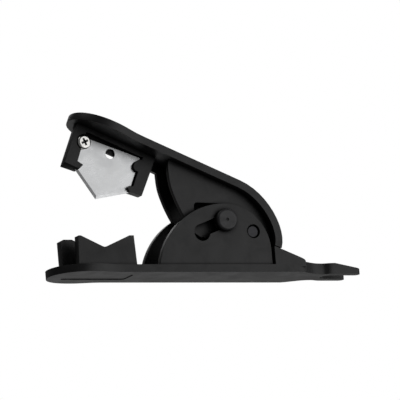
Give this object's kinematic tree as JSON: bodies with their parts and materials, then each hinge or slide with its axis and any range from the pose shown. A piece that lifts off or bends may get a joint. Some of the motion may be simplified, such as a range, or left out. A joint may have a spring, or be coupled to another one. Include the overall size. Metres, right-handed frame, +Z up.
{
  "type": "hand-held tube cutter",
  "caption": "Black plastic hand cutter for soft tube, with a V cradle, a pointed blade on a spring-opened upper handle, a sliding lock button and a tail fork.",
  "frame": {"origin": "middle of the length and width, at the flat underside of the lower handle", "axes": "+Z up through the handles, X along the tool with the paddles at -X and the fork at +X, lock button on the -Y side"},
  "size_m": [0.135, 0.0262, 0.0671],
  "materials": {
    "black_plastic": "moulded black nylon, fine satin texture",
    "button_plastic": "moulded black acetal, satin",
    "sleeve_plastic": "dark grey acetal",
    "blade_steel": "ground tool steel with fine bevels",
    "plated_steel": "bright nickel plate",
    "zinc_steel": "bright zinc plate",
    "pin_steel": "black oxide on steel",
    "spring_wire": "drawn spring wire"
  },
  "bodies": {
    "base": {"lower_handle": "black_plastic", "pivot_pin": "pin_steel", "spring_sleeve": "sleeve_plastic", "return_spring": "spring_wire"},
    "jaw": {"upper_handle": "black_plastic", "blade": "blade_steel", "blade_screw": "plated_steel", "blade_nut": "zinc_steel"},
    "lock": {"lock_button": "button_plastic", "lock_retainer": "spring_wire"}
  },
  "joints": [
    {"name": "jaw_pivot", "type": "hinge", "parent": "base", "child": "jaw", "pos_m": [0.02015, 0, 0.0169], "axis": [0, -1, 0], "range_deg": [0, 23.7], "stiffness_Nm_per_rad": 0.25, "springref_deg": -34.38, "deforming": ["return_spring"]},
    {"name": "lock_slide", "type": "slide", "parent": "base", "child": "lock", "axis": [-0.9336, 0, -0.3584], "range_m": [0, 0.012]}
  ]
}
